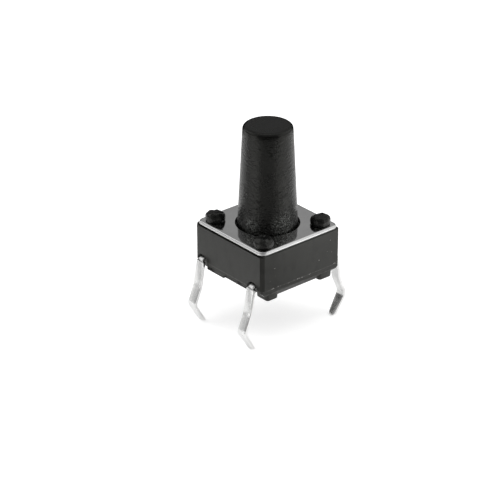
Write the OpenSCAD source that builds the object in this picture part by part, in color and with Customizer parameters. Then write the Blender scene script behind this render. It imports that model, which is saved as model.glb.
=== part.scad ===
// Through-hole tactile push button switch, 6 mm square, with a long tapered stem.
// The origin is the centre of the plane where the housing's feet seat on the circuit board.
// +Z points up along the stem. The two lead rows leave the housing through its -X and +X sides.

/* [Housing] */
// Width of the housing across the two sides that the leads leave
body_w = 6; // [6:0.1:8]
// Depth of the housing along the lead rows
body_d = 6; // [6:0.1:8]
// Height of the cover plate's top above the circuit board
body_h = 3.2; // [3:0.1:5]
// Radius of the housing's upright corners
body_corner_r = 0.2; // [0.1:0.05:0.3]
// Height of the ledge above the board, under which the housing steps in
ledge_z = 0.75; // [0.7:0.01:0.8]
// How far the housing steps in below the ledge on its two plain sides
ledge_inset = 0.07; // [0.03:0.01:0.15]
// How far the housing steps in below the ledge on its two lead sides
shoulder_inset = 0.13; // [0.1:0.01:0.2]
// Height of the shoulder's underside above the board
shoulder_z = 0.38; // [0.3:0.01:0.5]
// How far the shoulder's underside slants in
shoulder_slant = 0.15; // [0.05:0.01:0.2]
// How far the housing's core stands in from its lead sides
core_inset = 0.6; // [0.5:0.05:0.8]
// Height of the housing's underside above the board
underside_z = 0.16; // [0.1:0.01:0.25]
// Height above the board where the two plain sides start to slant in
slant_z = 0.46; // [0.4:0.01:0.55]
// How far the two plain sides slant in down to the underside
side_slant = 0.15; // [0.05:0.01:0.2]
// Chamfer on the housing's top edge
top_chamfer = 0.06; // [0.02:0.01:0.08]
// Depth of the rebate under the cover plate's edge on the two lead sides
rebate_d = 0.15; // [0.1:0.01:0.2]
// Height of the rebate under the cover plate's edge
rebate_h = 0.08; // [0.04:0.01:0.12]
// Height of the side skirt's lower edge above the board
skirt_z = 0.49; // [0.4:0.01:0.6]
// Height of the lower half of the side skirt's edge above the board
skirt_low_z = 0.37; // [0.3:0.01:0.5]
// How far past the centre line the lower half of the side skirt starts
skirt_step_y = 0.4; // [0.1:0.05:0.6]

/* [Feet] */
// Width of the outer foot of each pair
outer_foot_w = 0.84; // [0.5:0.02:0.9]
// Width of the inner foot of each pair
inner_foot_w = 0.96; // [0.5:0.02:1]
// Length of a foot along the lead row
foot_l = 1.02; // [0.6:0.02:1.2]
// Radius of a foot's upright corners
foot_corner_r = 0.14; // [0.05:0.01:0.2]
// Distance from the housing's side to the centre of the outer foot of each pair
outer_foot_inset = 0.89; // [0.8:0.01:1.1]
// Distance from the housing's side to the centre of the inner foot of each pair
inner_foot_inset = 1.06; // [1:0.01:1.4]

/* [Cover plate and posts] */
// Thickness of the cover plate
plate_t = 0.2; // [0.15:0.01:0.4]
// How far the cover plate's edge stands in from the housing's sides
plate_inset = 0.07; // [0.06:0.01:0.3]
// Radius of the cover plate's corners
plate_corner_r = 0.38; // [0.3:0.02:0.8]
// Radius of the cover plate's rolled top edge
plate_roll_r = 0.1; // [0.05:0.01:0.14]
// Distance from the housing's sides to the centre of each post
post_inset = 0.85; // [0.8:0.05:1]
// Radius of a post's shank
post_r = 0.38; // [0.3:0.02:0.4]
// Radius of a post's staked head
head_r = 0.6; // [0.45:0.01:0.62]
// Height of a post's staked head over the cover plate
head_h = 0.52; // [0.3:0.02:0.6]
// Undercut at the foot of a staked head
head_undercut = 0.05; // [0:0.01:0.08]
// Radius of the round on a staked head's top edge
head_round = 0.18; // [0.1:0.02:0.28]

/* [Stem] */
// Height of the stem's top above the circuit board
total_h = 9.35; // [6:0.05:16]
// Radius of the stem where it leaves the cover plate
stem_base_r = 1.76; // [1.5:0.01:1.9]
// Radius of the stem at its top
stem_top_r = 1.45; // [1.3:0.01:1.75]
// Radius of the round on the stem's top edge
stem_round = 0.18; // [0.1:0.02:0.3]
// Gap between the stem and the cover plate's hole
stem_gap = 0.13; // [0.05:0.01:0.2]
// How far the stem's flange reaches past the cover plate's hole
flange_lip = 0.3; // [0.2:0.05:0.4]
// Thickness of the stem's flange
flange_t = 0.5; // [0.3:0.05:0.6]
// Radius of the stem's pusher that bears on the dome
pusher_r = 0.7; // [0.4:0.05:1]
// Width of the two keys that stop the stem from turning
key_w = 0.9; // [0.6:0.05:1.2]
// How far each key reaches past the flange
key_reach = 0.32; // [0.2:0.02:0.35]
// Travel of the stem
travel = 0.25; // [0.1:0.05:0.3]

/* [Dome] */
// Thickness of the snap dome
dome_t = 0.07; // [0.05:0.01:0.1]
// Height of the snap dome's inside at rest
dome_rise = 0.42; // [0.35:0.01:0.5]
// Gap between the circle on which the snap dome bears and the wall of its pocket
dome_gap = 0.15; // [0.1:0.05:0.3]
// Height of the pocket's floor above the board
floor_z = 1.3; // [1.3:0.05:1.4]

/* [Leads] */
// Width of a lead
lead_w = 0.66; // [0.5:0.05:0.8]
// Thickness of the lead strip
lead_t = 0.2; // [0.2:0.01:0.3]
// Width of a lead's neck, where it leaves the housing
neck_w = 0.42; // [0.36:0.02:0.5]
// Height of a lead's shoulders, above which it narrows to its neck
neck_z = 0.8; // [0.7:0.02:0.84]
// Distance between the two leads on one side
lead_pitch = 4.5; // [4.3:0.1:4.6]
// Height of the lead strip's underside where it leaves the housing
lead_z = 0.84; // [0.75:0.01:0.9]
// How far a lead stands out from the housing's side where it turns down
turn_out = 0.25; // [0.22:0.01:0.5]
// How far a lead stands out at its kink, where it starts to lean out more
kink_out = 0.53; // [0.3:0.01:0.7]
// Depth below the board where the leads start to lean out
kink_depth = 0.74; // [0.5:0.02:1]
// How far a lead stands out at its knee, where it turns back in
knee_out = 0.99; // [0.6:0.01:1]
// Depth of the knees below the board
knee_depth = 1.8; // [1.5:0.01:2.2]
// How far a lead stands out at its tip
tip_out = 0.2; // [-0.1:0.05:0.4]
// Depth of the tips below the board
lead_drop = 3.1; // [3:0.05:4]
// Centre-line radius of the bend where a lead turns down
turn_r = 0.2; // [0.15:0.01:0.4]
// Centre-line radius of the bends at the kinks
kink_r = 0.3; // [0.2:0.05:0.5]
// Centre-line radius of the bends at the knees
knee_r = 0.45; // [0.3:0.05:0.7]
// Width of a lead at its tip
tip_w = 0.5; // [0.36:0.02:0.54]
// Radius of the corners at a lead's tip
tip_corner_r = 0.14; // [0.1:0.02:0.18]
// Half width of the arched notch around a lead
notch_r = 0.46; // [0.44:0.01:0.48]
// Height of the notch's crown above the board
notch_top = 1.15; // [1.1:0.01:1.28]
// How far the notch runs in from the lead side
notch_depth = 0.4; // [0.3:0.05:0.5]
// How far each side's two notches sit to one side of their leads
notch_shift = 0.1; // [0.05:0.01:0.12]
// Width of the centre contact's tab
tab_w = 0.9; // [0.6:0.1:1.2]
// Distance from the centre line where the tab starts to rise
tab_start = 1.2; // [1.1:0.05:1.3]
// Distance from the centre line where the tab levels out
tab_level = 0.75; // [0.65:0.05:0.8]
// How far the tab reaches past the centre line
tab_reach = 0.45; // [0.3:0.05:0.6]
// Width of each rim contact's arm
arm_w = 0.66; // [0.4:0.02:0.8]
// Distance from the centre line where an arm starts to rise
arm_start = 1.5; // [1.4:0.05:1.6]
// Distance from the centre line where an arm levels out
arm_level = 1.1; // [0.9:0.05:1.15]
// How far an arm reaches past the centre line
arm_reach = 0.6; // [0.4:0.05:0.8]
// How far the centre contact stands above the pocket's floor
contact_h = 0.12; // [0.08:0.01:0.14]

/* [Hidden] */

$fn = 64;
bend_steps = 6;
arc_steps = 8;
cut = 0.01;
overshoot = 1;
tip_run_on = 0.3;
// Running gaps between the stem and what it slides in
seat_gap = 0.02;
pusher_gap = 0.01;
flange_gap = 0.08;
key_gap = 0.05;
key_floor_gap = 0.08;
post_gap = 0.03;
// How far the rim contact's arms reach out past the dome's rim
arm_past_rim = 0.05;

base_top = body_h - plate_t;
half_w = body_w / 2;
half_d = body_d / 2;
lower_half_d = half_d - ledge_inset;
shoulder_half_w = half_w - shoulder_inset;
core_half_w = half_w - core_inset;
notch_half_w = half_w - notch_depth;

post_x = half_w - post_inset;
post_y = half_d - post_inset;

hole_r = stem_base_r + stem_gap;
flange_r = hole_r + flange_lip;
flange_top = base_top - seat_gap;
flange_z = flange_top - flange_t;
key_end = flange_r + key_reach;
pocket_r = flange_r + flange_gap;
dome_r = pocket_r - dome_gap;
dome_sphere_r = (dome_r * dome_r + dome_rise * dome_rise) / (2 * dome_rise);
dome_top = floor_z + dome_rise + dome_t;
key_slot_z = flange_z - travel - key_floor_gap;

lead_y = lead_pitch / 2;
strip_mid_z = lead_z + lead_t / 2;
lead_x = half_w - lead_t / 2;
contact_top = floor_z + contact_h;

function unit(v) = v / norm(v);
function left_of(v) = [-v.y, v.x];
function turned(v, a) = [v.x * cos(a) - v.y * sin(a), v.x * sin(a) + v.y * cos(a)];
function mirrored(path) = [for (i = [len(path) - 1:-1:0]) [-path[i].x, path[i].y]];

// Arc of radius r that rounds the corner b of the line a, b, c
function corner_arc(a, b, c, r) =
    let (
        u = unit(a - b),
        w = unit(c - b),
        half = acos(u * w) / 2,
        centre = b + unit(u + w) * r / sin(half),
        start = b + u * r / tan(half) - centre,
        side = sign(cross(b - a, c - b)),
        sweep = side * (180 - 2 * half)
    )
    [for (k = [0:bend_steps]) centre + turned(start, sweep * k / bend_steps)];

// Line through pts with its corners rounded to the radii in rs, one for each inner point
function bent_line(pts, rs) = concat(
    [pts[0]],
    [for (i = [1:len(pts) - 2]) each corner_arc(pts[i - 1], pts[i], pts[i + 1], rs[i - 1])],
    [pts[len(pts) - 1]]
);

// Line shifted sideways by d
function shifted_line(path, d) =
    let (last = len(path) - 1)
    [for (i = [0:last]) path[i] + d * unit(left_of(path[min(i + 1, last)] - path[max(i - 1, 0)]))];

// Outline of a sheet of thickness t bent along a line
function sheet_outline(path, t) =
    let (far_side = shifted_line(path, -t / 2))
    concat(shifted_line(path, t / 2), [for (i = [len(far_side) - 1:-1:0]) far_side[i]]);

// Quarter arc about [x, y] from angle a0 to a1
function arc_points(x, y, r, a0, a1) =
    [for (k = [0:arc_steps]) let (a = a0 + (a1 - a0) * k / arc_steps) [x + r * cos(a), y + r * sin(a)]];

// Rectangle with round corners, centred on the origin
module rounded_rect(w, d, r) {
    square([w - 2 * r, d], center = true);
    square([w, d - 2 * r], center = true);
    for (sx = [-1, 1], sy = [-1, 1])
        translate([sx * (w / 2 - r), sy * (d / 2 - r)]) circle(r);
}

// Upright block between two heights
module rounded_block(w, d, r, z0, z1) {
    translate([0, 0, z0]) linear_extrude(z1 - z0) rounded_rect(w, d, r);
}

// Extrusion of an XZ outline along Y, centred on y
module along_y(length, y) {
    translate([0, y + length / 2, 0]) rotate([90, 0, 0]) linear_extrude(length) children();
}

// Extrusion of a YZ outline along X, centred on x
module along_x(length, x) {
    translate([x - length / 2, 0, 0]) rotate([90, 0, 90]) linear_extrude(length) children();
}

module at_posts() {
    for (sx = [-1, 1], sy = [-1, 1])
        translate([sx * post_x, sy * post_y, 0]) children();
}

// Main block above the ledge, with its top edge chamfered on all four sides
module main_block() {
    intersection() {
        rounded_block(body_w, body_d, body_corner_r, ledge_z, base_top);
        along_y(body_d + overshoot, 0) chamfered_side(half_w);
        along_x(body_w + overshoot, 0) chamfered_side(half_d);
    }
}

module chamfered_side(half) {
    polygon([
        [-half, 0], [half, 0],
        [half, base_top - top_chamfer], [half - top_chamfer, base_top],
        [-half + top_chamfer, base_top], [-half, base_top - top_chamfer]
    ]);
}

// Core and shoulder below the ledge
module lower_block() {
    shoulder_low = shoulder_half_w - shoulder_slant;
    shoulder_slant_z = (shoulder_z + ledge_z) / 2;
    intersection() {
        along_y(2 * lower_half_d, 0) polygon([
            [-core_half_w, underside_z], [core_half_w, underside_z],
            [core_half_w, shoulder_z], [shoulder_low, shoulder_z],
            [shoulder_half_w, shoulder_slant_z], [shoulder_half_w, ledge_z + cut],
            [-shoulder_half_w, ledge_z + cut], [-shoulder_half_w, shoulder_slant_z],
            [-shoulder_low, shoulder_z], [-core_half_w, shoulder_z]
        ]);
        along_x(body_w, 0) polygon([
            [-lower_half_d + side_slant, underside_z], [lower_half_d - side_slant, underside_z],
            [lower_half_d, slant_z], [lower_half_d, ledge_z + cut],
            [-lower_half_d, ledge_z + cut], [-lower_half_d, slant_z]
        ]);
    }
}

// Side skirts between the notches, each with one half a little lower than the other
module skirts() {
    reach = half_w - core_half_w;
    for (turn = [0, 180])
        rotate([0, 0, turn]) {
            translate([core_half_w, -lead_y, skirt_z]) cube([reach, lead_pitch, ledge_z + cut - skirt_z]);
            translate([core_half_w, -lead_y, skirt_low_z])
                cube([reach, lead_y - skirt_step_y, skirt_z + cut - skirt_low_z]);
        }
}

module feet() {
    for (turn = [0, 180])
        rotate([0, 0, turn]) {
            foot(outer_foot_inset - half_w, outer_foot_w);
            foot(half_w - inner_foot_inset, inner_foot_w);
        }
}

module foot(x, w) {
    translate([x, foot_l / 2 - lower_half_d, 0])
        rounded_block(w, foot_l, foot_corner_r, 0, shoulder_z + cut);
}

// Arched notches that the leads leave through
module notches() {
    for (sx = [-1, 1], sy = [-1, 1])
        along_x(half_w - notch_half_w + overshoot, sx * (notch_half_w + half_w + overshoot) / 2)
            translate([sy * lead_y - sx * notch_shift, 0]) {
                translate([0, notch_top - notch_r]) circle(notch_r);
                translate([-notch_r, -overshoot]) square([2 * notch_r, notch_top - notch_r + overshoot]);
            }
}

// Rebate under the cover plate's edge along the two lead sides
module rebates() {
    for (sx = [-1, 1])
        along_y(body_d + overshoot, 0)
            translate([sx * half_w, base_top]) square([2 * rebate_d, 2 * rebate_h], center = true);
}

// Pocket for the dome and the stem's flange, with a slot for each key
module pocket() {
    translate([0, 0, floor_z]) cylinder(h = body_h, r = pocket_r);
    translate([-key_end - key_gap, -key_w / 2 - key_gap, key_slot_z])
        cube([2 * (key_end + key_gap), key_w + 2 * key_gap, body_h]);
}

// Staked post: shank through the cover plate and a rounded head over it
module post() {
    translate([0, 0, base_top - cut]) cylinder(h = plate_t + 2 * cut, r = post_r);
    crown = body_h + head_h;
    rotate_extrude() polygon(concat(
        [[0, body_h], [head_r - head_undercut, body_h], [head_r, body_h + head_undercut]],
        arc_points(head_r - head_round, crown - head_round, head_round, 0, 90),
        [[0, crown]]
    ));
}

module base_housing() {
    color([0.29, 0.29, 0.28]) {
        difference() {
            union() {
                main_block();
                lower_block();
                skirts();
                feet();
            }
            notches();
            rebates();
            pocket();
            centre_terminal_sheet();
            rim_terminal_sheet();
        }
        at_posts() post();
    }
}

// Plate with a rolled top edge, before its holes
module plate_blank() {
    w = body_w - 2 * plate_inset;
    d = body_d - 2 * plate_inset;
    roll_z = body_h - plate_roll_r;
    inner_r = plate_corner_r - plate_roll_r;
    rounded_block(w, d, plate_corner_r, base_top, roll_z);
    rounded_block(w - 2 * plate_roll_r, d - 2 * plate_roll_r, inner_r, base_top, body_h);
    for (side = [-1, 1]) {
        along_y(d - 2 * plate_corner_r, 0)
            translate([side * (w / 2 - plate_roll_r), roll_z]) circle(plate_roll_r);
        along_x(w - 2 * plate_corner_r, 0)
            translate([side * (d / 2 - plate_roll_r), roll_z]) circle(plate_roll_r);
    }
    for (sx = [-1, 1], sy = [-1, 1])
        translate([sx * (w / 2 - plate_corner_r), sy * (d / 2 - plate_corner_r), roll_z])
            rotate_extrude() translate([inner_r, 0]) circle(plate_roll_r);
}

// Cover plate, held down by the four staked posts
module cover_plate() {
    through = plate_t + 2 * overshoot;
    color([0.62, 0.62, 0.62]) difference() {
        plate_blank();
        translate([0, 0, base_top - overshoot]) cylinder(h = through, r = hole_r);
        at_posts() translate([0, 0, base_top - overshoot]) cylinder(h = through, r = post_r + post_gap);
    }
}

// Stem with its flange, pusher and keys, all one moulding
module stem() {
    color([0.2, 0.2, 0.19]) {
        rotate_extrude() polygon(concat(
            [[0, dome_top + pusher_gap], [pusher_r, dome_top + pusher_gap], [pusher_r, flange_z]],
            [[flange_r, flange_z], [flange_r, flange_top], [stem_base_r, flange_top]],
            [[stem_base_r, body_h]],
            arc_points(stem_top_r - stem_round, total_h - stem_round, stem_round, 0, 90),
            [[0, total_h]]
        ));
        translate([-key_end, -key_w / 2, flange_z]) cube([2 * key_end, key_w, flange_t]);
    }
}

// Thin dished spring disc that snaps through under the pusher
module snap_dome() {
    sphere_z = floor_z + dome_rise - dome_sphere_r;
    rim_angle = acos(dome_r / dome_sphere_r);
    color([0.8, 0.79, 0.76]) rotate_extrude() polygon(concat(
        arc_points(0, sphere_z, dome_sphere_r, 90, rim_angle),
        arc_points(0, sphere_z, dome_sphere_r + dome_t, rim_angle, 90)
    ));
}

// Strip that runs under the pocket from one lead's tip to the other's
module lead_strip() {
    knee = [lead_x + knee_out, -knee_depth];
    tip = [lead_x + tip_out, -lead_drop];
    half_path = bent_line([
        [0, strip_mid_z],
        [lead_x + turn_out, strip_mid_z],
        [lead_x + kink_out, -kink_depth],
        knee,
        tip + tip_run_on * unit(tip - knee)
    ], [turn_r, kink_r, knee_r]);
    inner_half = [for (i = [1:len(half_path) - 1]) half_path[i]];
    difference() {
        intersection() {
            along_y(lead_w, 0) polygon(sheet_outline(concat(mirrored(inner_half), inner_half), lead_t));
            along_x(body_w + 2 * knee_out + overshoot, 0) lead_front();
        }
        neck_sides();
    }
}

// What is cut away beside the neck of each lead
module neck_sides() {
    length = lead_x + turn_out + lead_t - notch_half_w;
    for (sx = [-1, 1], sy = [-1, 1])
        along_x(length, sx * (notch_half_w + length / 2))
            translate([sy * (neck_w + lead_w) / 2, neck_z + lead_w / 2]) square(lead_w, center = true);
}

// Front view of a lead, which narrows below its knee to a tip with rounded corners
module lead_front() {
    half = lead_w / 2;
    tip_half = tip_w / 2;
    tip_z = -lead_drop;
    round_z = tip_z + tip_corner_r;
    top_z = ledge_z + overshoot;
    polygon(concat(
        [[-half, top_z], [-half, -knee_depth]],
        arc_points(tip_corner_r - tip_half, round_z, tip_corner_r, 180, 270),
        arc_points(tip_half - tip_corner_r, round_z, tip_corner_r, 270, 360),
        [[half, -knee_depth], [half, top_z]]
    ));
}

// Strip on the -Y side, with a tab bent up to the contact under the dome's centre
module centre_terminal_sheet() {
    tab_path = bent_line([
        [-lead_y, strip_mid_z],
        [-tab_start, strip_mid_z],
        [-tab_level, contact_top - lead_t / 2],
        [tab_reach, contact_top - lead_t / 2]
    ], [turn_r, turn_r]);
    translate([0, -lead_y, 0]) lead_strip();
    along_x(tab_w, 0) polygon(sheet_outline(tab_path, lead_t));
}

// Strip on the +Y side, with two arms bent up to the pads under the dome's rim
module rim_terminal_sheet() {
    arm_path = bent_line([
        [lead_y, strip_mid_z],
        [arm_start, strip_mid_z],
        [arm_level, floor_z - lead_t / 2],
        [-arm_reach, floor_z - lead_t / 2]
    ], [turn_r, turn_r]);
    translate([0, lead_y, 0]) lead_strip();
    for (side = [-1, 1])
        along_x(arm_w, side * (dome_r + arm_past_rim - arm_w / 2)) polygon(sheet_outline(arm_path, lead_t));
}

module centre_terminal() { color([0.82, 0.82, 0.81]) centre_terminal_sheet(); }
module rim_terminal() { color([0.82, 0.82, 0.81]) rim_terminal_sheet(); }

base_housing();
cover_plate();
stem();
snap_dome();
centre_terminal();
rim_terminal();
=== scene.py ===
import math
import random

import bmesh
import bpy
from mathutils import Matrix, Vector, noise


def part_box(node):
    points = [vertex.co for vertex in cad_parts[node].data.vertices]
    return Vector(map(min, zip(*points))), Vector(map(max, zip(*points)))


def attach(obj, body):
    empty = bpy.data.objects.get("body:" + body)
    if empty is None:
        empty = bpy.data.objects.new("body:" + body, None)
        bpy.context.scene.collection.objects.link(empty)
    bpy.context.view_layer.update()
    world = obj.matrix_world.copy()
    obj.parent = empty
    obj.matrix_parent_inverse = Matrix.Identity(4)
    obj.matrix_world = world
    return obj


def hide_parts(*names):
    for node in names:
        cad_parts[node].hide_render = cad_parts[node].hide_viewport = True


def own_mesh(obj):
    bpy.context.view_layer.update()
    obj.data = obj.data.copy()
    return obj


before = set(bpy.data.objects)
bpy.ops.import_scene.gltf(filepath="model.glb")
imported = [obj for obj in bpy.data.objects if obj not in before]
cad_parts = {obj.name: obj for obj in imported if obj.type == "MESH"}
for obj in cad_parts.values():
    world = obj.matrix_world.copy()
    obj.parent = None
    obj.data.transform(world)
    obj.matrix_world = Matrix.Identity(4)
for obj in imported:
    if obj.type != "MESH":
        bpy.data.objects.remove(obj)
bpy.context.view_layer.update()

# ---------------------------------------------------------------- sizes
# All sizes are in millimetres. Pieces are modelled in millimetres and scaled to metres at the end.
MM = 0.001


def box_mm(node):
    """Lowest and highest corner of a CAD node, in millimetres."""
    low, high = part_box(node)
    return low / MM, high / MM


housing_high = box_mm("base_housing")[1]
plate_low, plate_high = box_mm("cover_plate")
stem_low, stem_high = box_mm("stem")
dome_low, dome_high = box_mm("snap_dome")
centre_low, centre_high = box_mm("centre_terminal")
rim_high = box_mm("rim_terminal")[1]

BODY_HALF = housing_high.x
SEAT_Z = plate_low.z
PLATE_TOP = plate_high.z
PLATE_HALF = plate_high.x
PLATE_T = PLATE_TOP - SEAT_Z
STEM_TOP = stem_high.z
POCKET_FLOOR = dome_low.z
LEAD_TIP = centre_low.z
FLOOR_Z = LEAD_TIP

# How far a cutter runs past the surface it cuts, how far joined blocks sink into each other,
# how far faces that nearly meet are kept apart, and the rounding of cut edges
PAST = 1.0
SUNK = 0.05
HAIR = 0.001
EDGE_ROUND = 0.025

# Housing
LEDGE_Z = 0.75
CORNER_CUT = 0.2
TOP_CHAMFER = 0.06
REBATE_D = 0.15
REBATE_H = 0.08
LOWER_HALF = 2.93
SLANT_Z = 0.46
SIDE_SLANT = 0.15
SHOULDER_HALF = 2.87
SHOULDER_Z = 0.38
SHOULDER_SLANT = 0.15
CORE_HALF = 2.4
UNDERSIDE_Z = 0.16
SKIRT_ROOT = 0.98 * CORE_HALF
SKIRT_Z = 0.49
SKIRT_LOW_Z = 0.37
SKIRT_STEP_Y = 0.4
NOTCH_R = 0.46
NOTCH_TOP = 1.15
NOTCH_HALF = 2.6
NOTCH_SHIFT = 0.1
POCKET_R = 2.27
KEY_GAP = 0.05
KEY_SLOT_HALF = 0.5
KEY_SLOT_RISE = 0.85
EJECTOR_MARKS = ((-1.1, 1.3), (1.1, -1.3))
EJECTOR_R = 0.45
EJECTOR_DEPTH = 0.03

# Feet: centre across the housing and width of the outer and the inner foot of a pair
FEET = ((-2.11, 0.84), (1.94, 0.96))
FOOT_LENGTH = 1.02
FOOT_CORNER_R = 0.14
# Heights up a foot, and how far its sides stand in at each
FOOT_DRAFT = ((0, 0.05), (0.04, 0.015), (SHOULDER_Z + 2 * SUNK, -0.01))

# Posts and their melted heads
POST_CENTRE = 2.15
POST_R = 0.38
POST_HOLE_R = 0.41
POST_HEAD_R = 0.62
HEAD_R = 0.6
HEAD_WAIST_R = 0.5
HEAD_CROWN_R = 0.22
HEAD_HEIGHT = 0.53
HEAD_BELLY_Z = 0.2
HEAD_DISH = 0.035
# Which way each head leans, as rise across X and across Y
HEAD_LEANS = ((-0.05, 0.04), (0.1, -0.03), (0.03, 0.08), (-0.06, -0.08))

# Cover plate
HOLE_R = 1.89
RIM_ROLL_R = 0.14
RIM_CORNER_R = 0.42
RIM_FOOT = 0.02
RIM_FOOT_CUT = 0.006

# Stem
STEM_BASE_R = 1.76
STEM_TOP_R = 1.45
TOP_EDGE_RUN = 0.3
TOP_EDGE_DROP = 0.2
FLANGE_TOP = SEAT_Z - 0.02
FLANGE_Z = FLANGE_TOP - 0.5
FLANGE_R = 2.19
FLANGE_CUT = 0.03
PUSHER_R = 0.7
PUSHER_CUT = 0.05
ROOT_CUT = 0.02
KEY_W = 0.9
KEY_CORNER_R = 0.05

# Leads: corners of their centre line in XZ, and the radii of its bends
LEAD_W = 0.66
LEAD_T = 0.2
LEAD_ROW = 2.25
LEAD_Z = 0.94
LEAD_X = BODY_HALF - LEAD_T / 2
LEAD_EDGE = 0.055
NECK_W = 0.42
TURN = (LEAD_X + 0.25, LEAD_Z)
KINK = (LEAD_X + 0.53, -0.74)
KNEE = (LEAD_X + 0.99, -1.8)
TIP = (LEAD_X + 0.2, LEAD_TIP)
TURN_R = 0.2
KINK_R = 1.8
KNEE_R = 0.45
TIP_W = 0.5
TIP_LEAST_W = 0.12
TIP_R = 0.14
TIP_LEVEL = 0.4

# Contacts inside the housing: the centre terminal's tab and the rim terminal's two arms
TAB_W = 0.9
TAB_BEND = (-1.2, -0.75)
TAB_END = 0.45
ARM_BEND = (1.5, 1.1)
ARM_END = -0.6
ARM_OUT = 2.17
DOME_T = 0.07
DOME_MARGIN = 0.03


# ---------------------------------------------------------------- mesh helpers
def arc(cx, cy, radius, start, end, steps):
    """Points on an arc between two angles in degrees."""
    angles = [math.radians(start + (end - start) * k / steps) for k in range(steps + 1)]
    return [(cx + radius * math.cos(a), cy + radius * math.sin(a)) for a in angles]


def rounded_rect(width, depth, radius, steps=6):
    """Outline of a rectangle with round corners, anticlockwise from +X."""
    quarters = ((1, 1, 0), (-1, 1, 90), (-1, -1, 180), (1, -1, 270))
    points = []
    for sx, sy, angle in quarters:
        points += arc(sx * (width / 2 - radius), sy * (depth / 2 - radius), radius, angle, angle + 90, steps)
    return points


def skin(bm, rings, looped=False):
    """Adds a closed solid of quads through rings of equal length, capped at its ends or looped round."""
    made = [[bm.verts.new(p) for p in ring] for ring in rings]
    count = len(made[0])
    following = made[1:] + made[:1] if looped else made[1:]
    for low, high in zip(made, following):
        for k in range(count):
            j = (k + 1) % count
            bm.faces.new((low[k], low[j], high[j], high[k]))
    if not looped:
        bm.faces.new(list(reversed(made[0])))
        bm.faces.new(made[-1])
    return bm


def new_object(name, bm):
    """Turns a bmesh in millimetres into an object with outward normals."""
    bmesh.ops.recalc_face_normals(bm, faces=bm.faces)
    mesh = bpy.data.meshes.new(name)
    bm.to_mesh(mesh)
    bm.free()
    obj = bpy.data.objects.new(name, mesh)
    bpy.context.scene.collection.objects.link(obj)
    return obj


def solid(name, rings):
    return new_object(name, skin(bmesh.new(), rings))


def smooth(obj, angle):
    """Shades an object smooth, except across edges sharper than an angle in degrees."""
    obj.data.shade_smooth()
    obj.data.set_sharp_from_angle(angle=math.radians(angle))
    return obj


def upright(outline, z0, z1):
    """Rings of a prism that stands on an XY outline."""
    return [[(x, y, z) for x, y in outline] for z in (z0, z1)]


def along_x(outline, x0, x1):
    """Rings of a prism of a YZ outline."""
    return [[(x, y, z) for y, z in outline] for x in (x0, x1)]


def along_y(outline, y0, y1):
    """Rings of a prism of an XZ outline."""
    return [[(x, y, z) for x, z in outline] for y in (y0, y1)]


def turned_rings(profile, segments, centre=(0, 0)):
    """Rings of a lathed solid through (radius, z) points, about an upright axis."""
    rings = []
    for radius, z in profile:
        ring = []
        for k in range(segments):
            a = 2 * math.pi * k / segments
            ring.append((centre[0] + radius * math.cos(a), centre[1] + radius * math.sin(a), z))
        rings.append(ring)
    return rings


def apply_modifiers(obj):
    """Replaces an object's mesh by what its modifiers make of it."""
    bpy.context.view_layer.update()
    graph = bpy.context.evaluated_depsgraph_get()
    mesh = bpy.data.meshes.new_from_object(obj.evaluated_get(graph))
    obj.modifiers.clear()
    old = obj.data
    obj.data = mesh
    bpy.data.meshes.remove(old)


def combine(base, tool, operation):
    """Boolean of two objects. The tool is used up."""
    mod = base.modifiers.new(operation, "BOOLEAN")
    mod.operation = operation
    mod.solver = "EXACT"
    mod.object = tool
    apply_modifiers(base)
    bpy.data.objects.remove(tool)


def soften(obj):
    """Rounds every sharp edge."""
    obj.data.shade_smooth()
    mod = obj.modifiers.new("soften", "BEVEL")
    mod.width = EDGE_ROUND
    mod.segments = 3
    mod.limit_method = "ANGLE"
    mod.angle_limit = math.radians(30)
    mod.harden_normals = True
    mod.use_clamp_overlap = True
    apply_modifiers(obj)


def drop_slivers(mesh, least=0.0004):
    """Closes up the faces that rounding left without any width."""
    bm = bmesh.new()
    bm.from_mesh(mesh)
    bmesh.ops.remove_doubles(bm, verts=bm.verts, dist=least)
    bmesh.ops.dissolve_degenerate(bm, edges=bm.edges, dist=least)
    bm.to_mesh(mesh)
    bm.free()


def install(obj, body, material, replaces=()):
    """Scales a finished piece to metres and ties it to the frame."""
    obj.data.transform(Matrix.Scale(MM, 4))
    obj.data.materials.clear()
    obj.data.materials.append(material)
    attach(obj, body)
    if replaces:
        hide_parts(*replaces)
    return obj


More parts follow.
